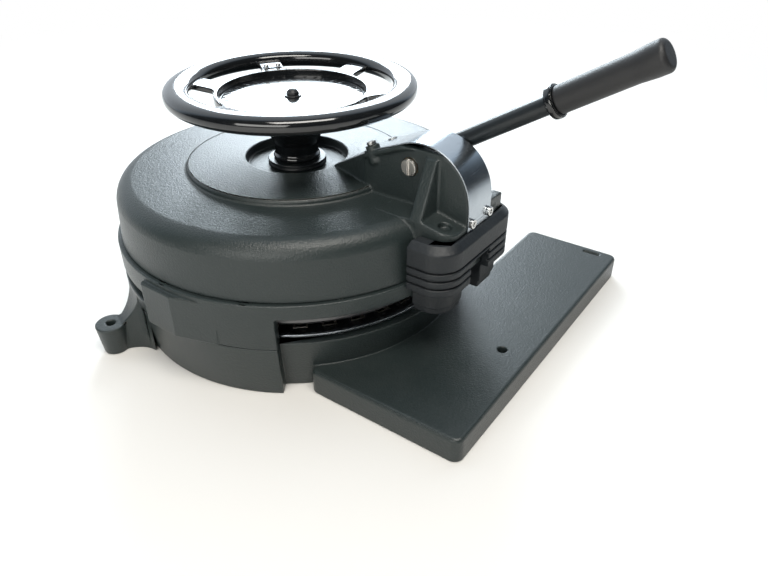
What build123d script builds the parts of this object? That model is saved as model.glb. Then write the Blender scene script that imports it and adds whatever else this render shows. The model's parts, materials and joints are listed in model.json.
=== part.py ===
from build123d import *
from math import acos, atan2, cos, degrees, radians, sin, tan
import os

# A hand-operated rotary stencil cutter, in millimetres.
# The origin is on the spindle line at floor level, +Z is up, the operator stands at -Y
# and +X is on the operator's right. The handwheel turns a punch disc and a die disc to
# bring one character to the front station; the lever drives a ram down on its punch.

# --- clearances -------------------------------------------------------------------
RUN_GAP = 0.05          # radial gap of a shaft or slide in its bush
BODY_GAP = 0.4          # between pieces that move past each other without bearing
CUT = 1.0               # how far a cutter runs past the face that it cuts

# --- discs and spindle ----------------------------------------------------------------
STATIONS = 36           # places for a character on both discs
BLANK_STATIONS = (9, 18, 27)   # word spaces: no punch and no die there
STATION_R = 153.0       # circle of the punches, and distance of the ram from the spindle
STROKE = 7.5            # travel of the ram and of the punch under it
SPINDLE_R = 15.0
SPINDLE_FOOT_Z = 14.0
DIE_RIM_R = STATION_R + 18.3
DIE_TOP_Z = 62.0
DIE_T = 8.0
DIE_FLANGE_T = 3.0
DIE_HUB_R = 42.0
DIE_HUB_T = 7.0
THROAT = 6.0            # height of the slot between the two discs
THROAT_INNER_R = 60.0   # how deep a board can go in, measured from the spindle
GUIDE_R = STATION_R + 15.0# punch disc
GUIDE_T = 28.0
GUIDE_LEAD = 5.0        # lead-in chamfer on its lower edge
FLEX_R_IN = STATION_R - 49.0# recess that lets the lifting fingers bend
FLEX_R_OUT = STATION_R - 16.0
FLEX_DEPTH = 16.0
PUNCH_W = 10.0          # square shank
PUNCH_LIFT = 0.6        # tip above the slot's roof when the punch is up
HEAD_W = 14.0
HEAD_T = 6.0
HEAD_Z = 112.0          # underside of the heads
STAR_T = 1.2            # leaf spring with one finger for each punch
STAR_R_IN = 70.0
STAR_R_OUT = 100.0
FINGER_W = 12.0
INDEX_R = 92.0          # notched ring under the die disc
INDEX_R_IN = 80.0
INDEX_T = 12.0
NOTCH_R = 3.4
NOTCH_DEPTH = 3.2
DETENT_R = 86.0
DETENT_AZ = 0.0
PLUNGER_R = 4.0
PLUNGER_COLLAR_R = 6.5
DETENT_BLOCK = (34.0, 18.0, 18.0)
DETENT_WIRE = 1.0
DETENT_SCREW_X = (-13.0, 13.0)
DETENT_TRAVEL = 3.3

# --- base casting ------------------------------------------------------------------
PLINTH_H = 57.0
PLINTH_FOOT_R = STATION_R + 14.0
PLINTH_RIM_R = STATION_R + 25.0
PAN_R = STATION_R + 14.5
PAN_FLOOR = 12.0
WALL_FOOT_R = STATION_R + 28.0# outer wall round the back and sides
WALL_RIM_R = STATION_R + 37.0
WALL_IN_R = STATION_R + 21.0
WALL_H = 70.0
BOSS_R = 30.0           # carries the lower bush
BOSS_TOP = 44.0
PAN_RIB_T = 7.0
PAN_RIB_H = 30.0
BED_LEFT = -132.0
BED_RIGHT = 243.0
BED_FRONT = -STATION_R - 128.0
BED_REAR = -STATION_R + 35.0
BED_WING_REAR = -STATION_R - 15.0
BED_H = 26.0
BED_CORNER = 9.0
BED_EDGE = 2.2          # chamfer along its top edge
BED_SLOT = (20.0, 5.0)  # gauge slot near the right end
FRONT_BOLT_Y = -STATION_R - 99.0
FOOT_X = STATION_R + 45.0
FOOT_Y = 88.0
FOOT_TOP_R = 15.5
FOOT_SOLE_R = 12.0
FOOT_H = 32.0
FOOT_HOLE_R = 4.5
LEG_T = 17.0
LEG_FLARE = 56.0        # width where the leg meets the wall
POCKET = (42.0, 38.0, 18.0)     # hollows under the bed
POCKET_PITCH = 50.0

# --- ring between the base and the housing --------------------------------------------
RING_R = WALL_RIM_R
RING_IN_R = WALL_IN_R
RING_TOP = 106.0
RING_BOTTOM = 81.0
MOUTH_TOP = 91.0        # higher over the front, where boards go in
POST_SPAN = (171.0, 214.0)     # left post, in degrees; the right one mirrors it
REAR_POST_SPAN = (80.0, 100.0)
PAD_X = RING_R + 4.5    # flat face of the boss on each side post
PAD_HALF_W = 27.0
PAD_TOP = 101.0
PAD_FLAT_END = 14.0
PAD_BLEND_END = 56.0
POST_BOLT_DEPTH = 12.0  # into the base
POST_BOLT_R = 4.0
POST_BOLT_HEAD_R = 6.5
POST_BOLT_AZ = (180.0, 206.0, 0.0, -26.0, 90.0)
POST_BOLT_CIRCLE = RING_R - 8.5

# --- top housing ------------------------------------------------------------------
SKIRT_FOOT_R = RING_R - 4.2
SKIRT_TOP_R = RING_R - 6.8
SKIRT_TOP_Z = 144.0
SKIRT_FOOT_Z = 106.0
SHOULDER_R = 19.7
SHOULDER_TURN = 85.0    # degrees, where the shoulder runs into the crown
CROWN_Z = 163.0         # at the foot of the raised disc
CROWN_T = 9.0
DISC_R = STATION_R - 40.6
DISC_TOP = 168.5
DISC_RISE = 1.5         # its top climbs this much towards the hub
DISC_ROUND = 2.5
SKIRT_T = 9.0
FLANGE_IN_R = RING_IN_R + 0.5
FLANGE_T = 10.0
WELL_R = 52.6           # recess round the hub
WELL_FLOOR = 161.0
HUB_BOSS_R = 30.0
HUB_BOSS_BOTTOM = 128.0
COLLAR_R = 30.0
COLLAR_TOP = 167.0
BUSH_T = 4.0
HOUSING_SCREW_AZ = (38.0, 142.0, 232.0, 308.0)
HOUSING_SCREW_R = 3.0
HOUSING_SCREW_HEAD_R = 5.0
HOUSING_SCREW_CIRCLE = RING_R - 8.0

# --- lever head -------------------------------------------------------------------
BLOCK_HALF_W = 47.0
BLOCK_BACK = -STATION_R + 33.0
BLOCK_BOTTOM = 107.0
BLOCK_TOP = 163.0
BLOCK_DROP = 7.0        # its top falls away this much to the front
BLOCK_CORNER = 14.0
CHEEK_OUT = 20.0        # outer faces, either side of the middle
CHEEK_T = 7.0
CHEEK_FLOOR = 160.0
ARC_Y = -STATION_R - 12.0
ARC_Z = 172.0
ARC_R = 49.0
BLOCK_FRONT = ARC_Y - ARC_R
TAIL_SLOPE = 22.0       # degrees, behind the arc
TAIL_Y = -STATION_R + 50.0
RAMP_Y = -STATION_R + 101.0
RAMP_HALF_W = 4.0
LUG_L = 15.0
RIM_W = 4.5             # raised rim round the left half of the near cheek
RIM_PROUD = 2.5
GUSSET_Y = -STATION_R - 24.0
GUSSET_T = 12.0
GUSSET_REACH = 27.0
GUSSET_TOP = 212.0
BAND_T = 1.5
BAND_FOOT_Z = 151.5
BAND_SCREW_Z = 159.0
BAND_SCREW_X = 15.5
BAND_SCREW_R = 2.5
BAND_HEAD_R = 4.4
BAND_HEAD_T = 3.4
PIVOT_Y = -STATION_R
PIVOT_Z = 198.0
STOP_X = (22.0, 46.0)
STOP_Y = (-STATION_R - 60.0, -STATION_R - 50.0)
STOP_TOP = 171.0
RECESS_R = 6.0
LEDGE_BACK = -STATION_R - 30.0
RECESS_Y = -STATION_R - 47.0
LUG_R = 7.5            # bosses under the band's rear screws
LUG_DEPTH = 11.0
CHEEK_LIP = 2.0         # wall left outside each bush of the lever shaft

# --- lever ------------------------------------------------------------------------
SHAFT_R = 8.0
SHAFT_LEFT = -22.5
SHAFT_RIGHT = 43.0
LEVER_X = 30.0
LEVER_REST = 31.5       # degrees above level
LEVER_SWING = 40.0
EYE_R = 15.0
EYE_W = 15.0
ARM_R = 8.3
COLLAR_AT = 121.0       # along the arm from the pivot
COLLAR_L = 7.0
LEVER_COLLAR_R = 14.5
GRIP_START = 128.0
GRIP_L = 90.0
GRIP_R = 11.8
GRIP_END_R = 12.9
GRIP_STUD_R = 5.0
CAM_W = 16.0
CAM_LOW = 15.0          # from the shaft to the ram's cap with the lever up
CAM_RATE = STROKE / radians(LEVER_SWING)    # lift for each radian of the lever

# --- ram --------------------------------------------------------------------------
RAM_R = 11.0
RAM_CAP_R = 12.4
RAM_CAP_T = 6.0
RAM_BUSH_R = 15.0
RAM_BUSH_Z = (124.0, 150.0)
SPRING_WIRE = 1.6
SPRING_R = 12.0

# --- front guard ------------------------------------------------------------------
GUARD_HALF_W = 64.0
GUARD_FRONT = -STATION_R - 70.0
GUARD_BACK = -STATION_R + 3.0
GUARD_TOP = 151.0
GUARD_BOTTOM = 81.5
GUARD_CORNER = 34.0
GUARD_CHAMFER = 6.0
GUARD_STEP_Z = 95.0
GUARD_STEP = 8.0
GUARD_DRUM_GAP = 0.3
GROOVES = 3
GROOVE_Z = 98.0
GROOVE_PITCH = 6.0
GROOVE_W = 2.2
GROOVE_D = 2.5
NOTCH_HALF_W = 16.0
NOTCH_TOP = 119.0

# --- handwheel --------------------------------------------------------------------
WHEEL_RIM_R = 110.0     # middle of the rim's section
WHEEL_RIM_HALF_W = 12.5
WHEEL_RIM_HALF_H = 8.5
WHEEL_Z = 238.5
SPOKES = 6
SPOKE_AZ = -3.0
SPOKE_W = 25.0
SPOKE_T = 6.0
DISH_R = 77.0
DISH_LIP_W = 4.0
DISH_FLOOR = 228.0
DISH_FLOOR_T = 5.0
DISH_LIP_Z = 236.0
HUB_TOP_R = 36.0
HUB_LOW_R = 22.0
HUB_LOW_Z = 183.0
HUB_TOP_Z = 223.0
HUB_NECK_Z = 168.0
NUT_AF = 13.0
NUT_T = 5.0
NUT_DOME = 3.5
NUT_WASHER_R = 8.5
NUT_WASHER_T = 1.2
STUD_R = 4.0
CLIP_OUT = 6.5
CLIP_W = 7.0
CLIP_L = 20.0
CLIP_T = 1.5
CLIP_AT = 6.5
CLIP_SCREW_R = 1.4
CLIP_HEAD_R = 3.0
DIAL_R = 70.0
DIAL_T = 1.5
DIAL_TICK = (7.0, 2.2, 0.6)

MIN3 = (Align.CENTER, Align.CENTER, Align.MIN)


# --- shared forms -----------------------------------------------------------------
def disc(radius, low, high):
    return Pos(0, 0, low) * Cylinder(radius, high - low, align=MIN3)


def tube(outer, inner, low, high):
    return disc(outer, low, high) - disc(inner, low - CUT, high + CUT)


def block(x, y, z):
    size = [high - low for low, high in (x, y, z)]
    middle = [(low + high) / 2 for low, high in (x, y, z)]
    return Pos(*middle) * Box(*size)


def turned(profile, start=0.0, sweep=360.0):
    """Revolve a closed outline of (radius, height) points about the spindle line."""
    section = Plane.XZ * make_face(Polyline(*profile, close=True))
    return Rot(0, 0, start) * revolve(section, Axis.Z, sweep)


def bar_x(radius, low, high, y, z):
    return Pos(low, y, z) * Rot(0, 90, 0) * Cylinder(radius, high - low, align=MIN3)


def bar_y(radius, low, high, x, z):
    return Pos(x, high, z) * Rot(90, 0, 0) * Cylinder(radius, high - low, align=MIN3)


def at_circle(radius, angle, z=0.0):
    turn = radians(angle)
    return Pos(radius * cos(turn), radius * sin(turn), z) * Rot(0, 0, angle)


def side_profile(wire, x_low, x_high):
    """Extrude an outline drawn in (Y, Z) along X."""
    face = Plane.YZ * make_face(wire)
    return Pos(x_low, 0, 0) * extrude(face, x_high - x_low, dir=(1, 0, 0))


def station_angle(index):
    return -90.0 + 360.0 / STATIONS * index


def used_stations(with_front):
    first = 0 if with_front else 1
    return [index for index in range(first, STATIONS) if index not in BLANK_STATIONS]


def mirrored_span(span):
    return (180.0 - span[1], 180.0 - span[0])


def socket_screw(radius, length, head_r, head_t):
    """A cap screw that hangs from its head's seat at z = 0."""
    screw = disc(head_r, 0, head_t) + disc(radius, -length, 0)
    key = RegularPolygon(head_r * 0.5, 6)
    return screw - Pos(0, 0, head_t * 0.45) * extrude(key, head_t)


# --- base -------------------------------------------------------------------------
def bed():
    main = block((BED_LEFT, -BED_LEFT), (BED_FRONT, BED_REAR), (0, BED_H))
    wing = block((0, BED_RIGHT), (BED_FRONT, BED_WING_REAR), (0, BED_H))
    slab = main + wing
    corners = slab.edges().filter_by(Axis.Z).group_by(SortBy.LENGTH)[-1]
    slab = fillet(corners, BED_CORNER)
    slab = chamfer(slab.faces().sort_by(Axis.Z)[-1].edges(), BED_EDGE)
    length, width = BED_SLOT
    slot = Pos(BED_RIGHT - 11, BED_FRONT + 28, BED_H - 3) * Rot(0, 0, 90)
    slab -= slot * extrude(SlotOverall(length, width), 3 + CUT)
    return slab


def leg():
    """One rear leg on +X: a web that flares onto the wall and sweeps down to its foot."""
    reach = (FOOT_X ** 2 + FOOT_Y ** 2) ** 0.5
    root, toe = WALL_RIM_R - 7, reach - 5
    half, wide = LEG_T / 2, LEG_FLARE / 2
    waist = (root + 0.4 * (toe - root), half + 0.22 * (wide - half))
    plan = Curve() + [
        ThreePointArc((root, wide), waist, (toe, half)),
        Line((toe, half), (toe, -half)),
        ThreePointArc((toe, -half), (waist[0], -waist[1]), (root, -wide)),
        Line((root, -wide), (root, wide)),
    ]
    web = extrude(make_face(plan), WALL_H)
    swoop = ThreePointArc((WALL_RIM_R - 3, WALL_H - 1), (WALL_RIM_R + 4, WALL_H - 23), (reach - 10, FOOT_H))
    above = Polyline((reach - 10, FOOT_H), (reach + 9, FOOT_H), (reach + 9, WALL_H + 9), (WALL_RIM_R - 3, WALL_H + 9),
                     (WALL_RIM_R - 3, WALL_H - 1))
    over = Plane.XZ * make_face(Curve() + [swoop, above])
    web -= Pos(0, wide + CUT, 0) * extrude(over, 2 * (wide + CUT), dir=(0, -1, 0))
    foot = Pos(reach, 0, 0) * Cone(FOOT_SOLE_R, FOOT_TOP_R, FOOT_H, align=MIN3)
    turn = degrees(acos(FOOT_X / reach))
    return Rot(0, 0, turn) * (web + foot)


def bed_pockets():
    """Hollows under the bed, open below, in two rows either side of a rib."""
    length, width, depth = POCKET
    cells = []
    for row, y in enumerate((BED_FRONT + 28, BED_FRONT + 74)):
        for step in range(-2, 5):
            at_bolt = row == 0 and step == 0
            if not at_bolt:
                cells.append(Pos(step * POCKET_PITCH, y, depth / 2) * Box(length, width, depth + CUT))
    return cells


def base_casting():
    body = turned([(0, 0), (PLINTH_FOOT_R, 0), (PLINTH_RIM_R, PLINTH_H), (0, PLINTH_H)])
    body += bed()
    low, high = mirrored_span(POST_SPAN)[0], POST_SPAN[1]
    wall_h_r = WALL_FOOT_R + (WALL_RIM_R - WALL_FOOT_R) * PLINTH_H / WALL_H
    sector = [(PAN_R - CUT, 0), (WALL_FOOT_R, 0), (wall_h_r, PLINTH_H), (PAN_R - CUT, PLINTH_H)]
    body += turned(sector, low, high - low)
    for start, stop in ((100.0, POST_SPAN[0]), (180.0 - POST_SPAN[0], 80.0)):
        upper = [(WALL_IN_R, PLINTH_H - 5), (wall_h_r - 0.6, PLINTH_H - 5), (wall_h_r, PLINTH_H),
                 (WALL_RIM_R, WALL_H), (WALL_IN_R, WALL_H)]
        body += turned(upper, start, stop - start)
    right_leg = leg()
    body += right_leg
    body += mirror(right_leg, Plane.YZ)
    body -= disc(PAN_R, PAN_FLOOR, PLINTH_H + CUT)
    body += disc(BOSS_R, PAN_FLOOR - CUT, BOSS_TOP)
    for angle in range(30, 360, 60):
        rib = block((BOSS_R - 2, PAN_R + 2), (-PAN_RIB_T / 2, PAN_RIB_T / 2), (PAN_FLOOR - CUT, PAN_RIB_H))
        body += Rot(0, 0, angle) * rib
    body -= disc(SPINDLE_R + BUSH_T, SPINDLE_FOOT_Z - 1, BOSS_TOP + CUT)
    for x in (-FOOT_X, FOOT_X):
        body -= Pos(x, FOOT_Y, 0) * disc(FOOT_HOLE_R, -CUT, FOOT_H + 40)
    body -= Pos(0, FRONT_BOLT_Y, 0) * disc(FOOT_HOLE_R, -CUT, BED_H + CUT)
    for angle in POST_BOLT_AZ:
        body -= at_circle(POST_BOLT_CIRCLE, angle) * disc(POST_BOLT_R, PLINTH_H - POST_BOLT_DEPTH - 2, WALL_H + CUT)
    body -= bed_pockets()
    body -= [detent_place() * Pos(x, 0, 0) * disc(2.0, PAN_FLOOR - 8, PAN_FLOOR + CUT) for x in DETENT_SCREW_X]
    return body


def lower_bush():
    return tube(SPINDLE_R + BUSH_T, SPINDLE_R + RUN_GAP, SPINDLE_FOOT_Z, BOSS_TOP)


def thrust_washer():
    return tube(BOSS_R - 1, SPINDLE_R + RUN_GAP, BOSS_TOP, DIE_TOP_Z - DIE_T - DIE_HUB_T)


# --- ring -------------------------------------------------------------------------
def ring_windows():
    """Sectors that are open under the ring: start, end and height."""
    right_low, right_high = mirrored_span(POST_SPAN)
    return ((right_high, REAR_POST_SPAN[0], RING_BOTTOM), (REAR_POST_SPAN[1], POST_SPAN[0], RING_BOTTOM),
            (POST_SPAN[1], 360.0 + right_low, MOUTH_TOP))


def side_pad():
    """Flat face on the +X post, which runs back into the round of the ring at the front."""
    inside = RING_IN_R + 3
    plan = Polyline((inside, PAD_HALF_W), (PAD_X, PAD_HALF_W), (PAD_X, -PAD_FLAT_END),
                    ((RING_R ** 2 - PAD_BLEND_END ** 2) ** 0.5 - 0.2, -PAD_BLEND_END), (inside - 10, -PAD_BLEND_END + 4),
                    close=True)
    body = Pos(0, 0, PLINTH_H) * extrude(make_face(plan), PAD_TOP - PLINTH_H)
    upright = body.edges().filter_by(Axis.Z).group_by(Axis.X)[-1]
    return fillet(upright, 4)


def lower_ring():
    body = turned([(RING_IN_R, PLINTH_H), (RING_R - 1.7, PLINTH_H), (RING_R, RING_BOTTOM),
                   (RING_R, RING_TOP), (RING_IN_R, RING_TOP)])
    for low, high, top in ring_windows():
        gap = [(RING_IN_R - 4, PLINTH_H - CUT), (RING_R + 10, PLINTH_H - CUT), (RING_R + 10, top), (RING_IN_R - 4, top)]
        body -= turned(gap, low, high - low)
    right_pad = side_pad()
    body += right_pad
    body += mirror(right_pad, Plane.YZ)
    for angle in POST_BOLT_AZ:
        hole = disc(POST_BOLT_R, PLINTH_H - CUT, RING_TOP + CUT)
        hole += disc(POST_BOLT_HEAD_R + 0.3, RING_TOP - 9, RING_TOP + CUT)
        body -= at_circle(POST_BOLT_CIRCLE, angle) * hole
    for angle in HOUSING_SCREW_AZ:
        low = housing_screw_seat(angle)
        hole = disc(HOUSING_SCREW_R, low, RING_TOP + CUT)
        hole += disc(HOUSING_SCREW_HEAD_R + 0.3, RING_BOTTOM - CUT, low)
        body -= at_circle(HOUSING_SCREW_CIRCLE, angle) * hole
    return body


def housing_screw_seat(angle):
    in_mouth = POST_SPAN[1] < angle < 360.0 + mirrored_span(POST_SPAN)[0]
    return (MOUTH_TOP if in_mouth else RING_BOTTOM) + 5.0


def post_bolts():
    length = RING_TOP - 9 - (PLINTH_H - POST_BOLT_DEPTH)
    bolt = socket_screw(POST_BOLT_R, length, POST_BOLT_HEAD_R, 8.0)
    places = [at_circle(POST_BOLT_CIRCLE, angle, RING_TOP - 9) for angle in POST_BOLT_AZ]
    return Compound(children=[place * bolt for place in places])


def housing_screws():
    screws = []
    for angle in HOUSING_SCREW_AZ:
        seat = housing_screw_seat(angle)
        screw = socket_screw(HOUSING_SCREW_R, RING_TOP + 7 - seat, HOUSING_SCREW_HEAD_R, 5.0)
        screws.append(at_circle(HOUSING_SCREW_CIRCLE, angle, seat) * Rot(180, 0, 0) * screw)
    return Compound(children=screws)


# --- top housing ------------------------------------------------------------------
def housing_shell():
    """Skirt, shoulder and crown, with the raised disc and the well round the hub."""
    first = atan2(SKIRT_FOOT_R - SKIRT_TOP_R, SKIRT_TOP_Z - SKIRT_FOOT_Z)
    last = radians(SHOULDER_TURN)
    middle = (first + last) / 2

    def shoulder(turn, radius):
        centre_r = SKIRT_TOP_R - SHOULDER_R * cos(first)
        centre_z = SKIRT_TOP_Z - SHOULDER_R * sin(first)
        return (centre_r + radius * cos(turn), centre_z + radius * sin(turn))

    start, half, end = [shoulder(turn, SHOULDER_R) for turn in (first, middle, last)]
    hub_edge = DISC_TOP + DISC_RISE
    outer = Curve() + [
        Line((SKIRT_FOOT_R, SKIRT_FOOT_Z), start),
        ThreePointArc(start, half, end),
        Line(end, (DISC_R + 1, CROWN_Z)),
        Line((DISC_R + 1, CROWN_Z), (DISC_R, CROWN_Z + 1)),
        Line((DISC_R, CROWN_Z + 1), (DISC_R, DISC_TOP - DISC_ROUND)),
        ThreePointArc((DISC_R, DISC_TOP - DISC_ROUND),
                      (DISC_R - 0.3 * DISC_ROUND, DISC_TOP - 0.3 * DISC_ROUND),
                      (DISC_R - DISC_ROUND, DISC_TOP)),
        Line((DISC_R - DISC_ROUND, DISC_TOP), (WELL_R, hub_edge)),
        Polyline((WELL_R, hub_edge), (WELL_R - 1.5, WELL_FLOOR), (0, WELL_FLOOR),
                 (0, SKIRT_FOOT_Z), (SKIRT_FOOT_R, SKIRT_FOOT_Z)),
    ]
    return revolve(Plane.XZ * make_face(outer), Axis.Z, 360)


def housing_room():
    """The space inside the housing for the punch heads, round the hub boss."""
    roof = CROWN_Z - CROWN_T
    inner_r = SKIRT_FOOT_R - SKIRT_T - 3
    room = turned([(HUB_BOSS_R, SKIRT_FOOT_Z - CUT), (FLANGE_IN_R, SKIRT_FOOT_Z - CUT),
                   (FLANGE_IN_R, SKIRT_FOOT_Z + FLANGE_T), (inner_r, SKIRT_FOOT_Z + FLANGE_T + 2),
                   (inner_r - 2, SKIRT_TOP_Z - 4), (inner_r - 12, roof - 4), (inner_r - 18, roof),
                   (WELL_R + 7, roof), (WELL_R, WELL_FLOOR - CROWN_T), (HUB_BOSS_R, WELL_FLOOR - CROWN_T)])
    return room + disc(HUB_BOSS_R + CUT, SKIRT_FOOT_Z - CUT, HUB_BOSS_BOTTOM)


def head_block():
    """The forward block that carries the ram, with its ledge falling to the front."""
    outline = RectangleRounded(2 * BLOCK_HALF_W, BLOCK_BACK - BLOCK_FRONT, BLOCK_CORNER)
    body = Pos(0, (BLOCK_BACK + BLOCK_FRONT) / 2, BLOCK_BOTTOM) * extrude(outline, BLOCK_TOP - BLOCK_BOTTOM)
    slope = Polyline((BLOCK_FRONT - CUT, BLOCK_TOP - BLOCK_DROP), (LEDGE_BACK, BLOCK_TOP), (LEDGE_BACK, BLOCK_TOP + 9),
                     (BLOCK_FRONT - CUT, BLOCK_TOP + 9), close=True)
    return body - side_profile(slope, -BLOCK_HALF_W - CUT, BLOCK_HALF_W + CUT)


def tail_points():
    """Where the arc over the cheeks meets the straight tail, and the tail's end."""
    lean = radians(90 - TAIL_SLOPE)
    y, z = ARC_Y + ARC_R * cos(lean), ARC_Z + ARC_R * sin(lean)
    return (y, z), (TAIL_Y, z - (TAIL_Y - y) * tan(radians(TAIL_SLOPE)))


def cheek_outline(offset=0.0):
    """Outline of a cheek in (Y, Z); offset moves its curved top outwards."""
    radius = ARC_R + offset
    lean = radians(90 - TAIL_SLOPE)
    high = radians(125)
    front = (ARC_Y - radius, ARC_Z)
    crown = (ARC_Y + radius * cos(high), ARC_Z + radius * sin(high))
    meet = (ARC_Y + radius * cos(lean), ARC_Z + radius * sin(lean))
    end = (TAIL_Y, meet[1] - (TAIL_Y - meet[0]) * tan(radians(TAIL_SLOPE)))
    return front, crown, meet, end


def cheek_block():
    front, crown, meet, end = cheek_outline()
    wire = Curve() + [
        Polyline((front[0], BAND_FOOT_Z - 4), front),
        ThreePointArc(front, crown, meet),
        Polyline(meet, end, (end[0], BAND_FOOT_Z - 4), (front[0], BAND_FOOT_Z - 4)),
    ]
    return side_profile(wire, -CHEEK_OUT, CHEEK_OUT)


def tail_ramp():
    """The fairing that runs from the cheeks back to the raised disc."""
    top = tail_points()[1][1]
    turn_in, run_out = (CHEEK_OUT, TAIL_Y - 10), (CHEEK_OUT - 6, TAIL_Y + 17)
    bend = (CHEEK_OUT - 1.6, TAIL_Y + 4)
    plan = Curve() + [
        ThreePointArc((-turn_in[0], turn_in[1]), (-bend[0], bend[1]), (-run_out[0], run_out[1])),
        Polyline((-run_out[0], run_out[1]), (-RAMP_HALF_W, RAMP_Y), (RAMP_HALF_W, RAMP_Y), run_out),
        ThreePointArc(run_out, bend, turn_in),
        Line(turn_in, (-turn_in[0], turn_in[1])),
    ]
    body = Pos(0, 0, CHEEK_FLOOR - 4) * extrude(make_face(plan), top - CHEEK_FLOOR + 4)
    over = Polyline((TAIL_Y - 12, top + 4), (TAIL_Y - 0.5, top), (RAMP_Y + 2, DISC_TOP + 0.6), (RAMP_Y + 2, top + 20),
                    (TAIL_Y - 12, top + 20), close=True)
    return body - side_profile(over, -40, 40)


def lugs():
    """Bosses either side of the tail, which take the band's rear screws."""
    boss = disc(LUG_R, -LUG_DEPTH, 0)
    return [rear_screw_place(x) * boss for x in (-BAND_SCREW_X, BAND_SCREW_X)]


def near_rim():
    """Raised rim that follows the top of the near cheek back from the gusset."""
    front, crown, meet, end = cheek_outline()
    inner = [(ARC_Y + (ARC_R - RIM_W) * cos(a), ARC_Z + (ARC_R - RIM_W) * sin(a))
             for a in (radians(100), radians(85), radians(90 - TAIL_SLOPE))]
    outer = [(ARC_Y + ARC_R * cos(a), ARC_Z + ARC_R * sin(a))
             for a in (radians(100), radians(85), radians(90 - TAIL_SLOPE))]
    wire = Curve() + [
        ThreePointArc(*outer),
        Polyline(outer[2], end, (end[0], end[1] - RIM_W), inner[2]),
        ThreePointArc(inner[2], inner[1], inner[0]),
        Line(inner[0], outer[0]),
    ]
    return side_profile(wire, -CHEEK_OUT - RIM_PROUD, -CHEEK_OUT + 0.5)


def gusset():
    reach = CHEEK_OUT + GUSSET_REACH
    wire = Polyline((-CHEEK_OUT + 1, GUSSET_TOP), (-CHEEK_OUT - 3, GUSSET_TOP - 1), (-reach, BLOCK_TOP - 1),
                    (-reach, BLOCK_TOP - 8), (-CHEEK_OUT + 1, BLOCK_TOP - 8), close=True)
    rib = Plane.XZ * make_face(wire)
    return Pos(0, GUSSET_Y + GUSSET_T / 2, 0) * extrude(rib, GUSSET_T, dir=(0, -1, 0))


def stop_fin():
    """Upright web on the right end of the ledge, which climbs away from the band."""
    wire = Polyline((STOP_X[0], BLOCK_TOP - 20), (STOP_X[0], BLOCK_TOP - 1), (STOP_X[1], STOP_TOP),
                    (STOP_X[1], BLOCK_TOP - 20), close=True)
    web = Plane.XZ * make_face(wire)
    return Pos(0, STOP_Y[1], 0) * extrude(web, STOP_Y[1] - STOP_Y[0], dir=(0, -1, 0))


def top_housing():
    body = housing_shell()
    body += head_block()
    body += cheek_block()
    body += tail_ramp()
    body += lugs()
    body += near_rim()
    body += gusset()
    body += stop_fin()
    body -= housing_room()
    cam_room = CHEEK_OUT - CHEEK_T
    body -= block((-cam_room, cam_room), (ARC_Y - ARC_R + 8, TAIL_Y - LUG_L - 4), (CHEEK_FLOOR, ARC_Z + ARC_R + CUT))
    body -= Pos(0, PIVOT_Y, 0) * disc(RAM_BUSH_R, BLOCK_BOTTOM - 4, CHEEK_FLOOR + CUT)
    body += Pos(0, PIVOT_Y, 0) * tube(RAM_BUSH_R + 6, RAM_BUSH_R, RAM_BUSH_Z[0], CHEEK_FLOOR)
    body -= bar_x(SHAFT_R + BODY_GAP, -CHEEK_OUT - CUT, CHEEK_OUT + CUT, PIVOT_Y, PIVOT_Z)
    body -= bar_x(SHAFT_R + 3, -CHEEK_OUT + CHEEK_LIP, CHEEK_OUT - CHEEK_LIP, PIVOT_Y, PIVOT_Z)
    body -= disc(SPINDLE_R + BUSH_T, HUB_BOSS_BOTTOM - CUT, WELL_FLOOR + CUT)
    for x in (-BAND_SCREW_X, BAND_SCREW_X):
        body -= bar_y(BAND_SCREW_R, BLOCK_FRONT - 9, BLOCK_FRONT + 14, x, BAND_SCREW_Z)
        body -= rear_screw_place(x) * disc(BAND_SCREW_R, -9, CUT)
    body -= Pos(-BLOCK_HALF_W + 13, RECESS_Y, BLOCK_TOP - 8) * disc(RECESS_R, 0, 20)
    for angle in HOUSING_SCREW_AZ:
        body -= at_circle(HOUSING_SCREW_CIRCLE, angle) * disc(HOUSING_SCREW_R, SKIRT_FOOT_Z - CUT, SKIRT_FOOT_Z + 9)
    return body


def upper_bush():
    return tube(SPINDLE_R + BUSH_T, SPINDLE_R + RUN_GAP, HUB_BOSS_BOTTOM, WELL_FLOOR)


def hub_collar():
    body = tube(COLLAR_R, SPINDLE_R + 1, WELL_FLOOR, COLLAR_TOP)
    groove = tube(COLLAR_R + CUT, COLLAR_R - 1.2, WELL_FLOOR + 2.4, WELL_FLOOR + 3.8)
    return body - groove


# --- lever head trim ----------------------------------------------------------------
def rear_screw_place(x):
    end = tail_points()[1]
    half = LUG_L / 2
    rise = tan(radians(TAIL_SLOPE)) * half
    return Pos(x, end[0] - half, end[1] + rise) * Rot(-TAIL_SLOPE, 0, 0)


def band_strip(inside, outside):
    """The sheet over the cheeks, as an outline between two offsets."""
    low, high = cheek_outline(inside), cheek_outline(outside)
    return Curve() + [
        Line((low[0][0], BAND_FOOT_Z), low[0]),
        ThreePointArc(low[0], low[1], low[2]),
        Polyline(low[2], low[3], high[3], high[2]),
        ThreePointArc(high[2], high[1], high[0]),
        Polyline(high[0], (high[0][0], BAND_FOOT_Z), (low[0][0], BAND_FOOT_Z)),
    ]


def band_cover():
    body = side_profile(band_strip(0.0, BAND_T), -CHEEK_OUT, CHEEK_OUT)
    for x in (-BAND_SCREW_X, BAND_SCREW_X):
        body -= bar_y(BAND_SCREW_R, BLOCK_FRONT - 9, BLOCK_FRONT + 14, x, BAND_SCREW_Z)
        body -= rear_screw_place(x) * disc(BAND_SCREW_R, -9, 9)
    return body


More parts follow.
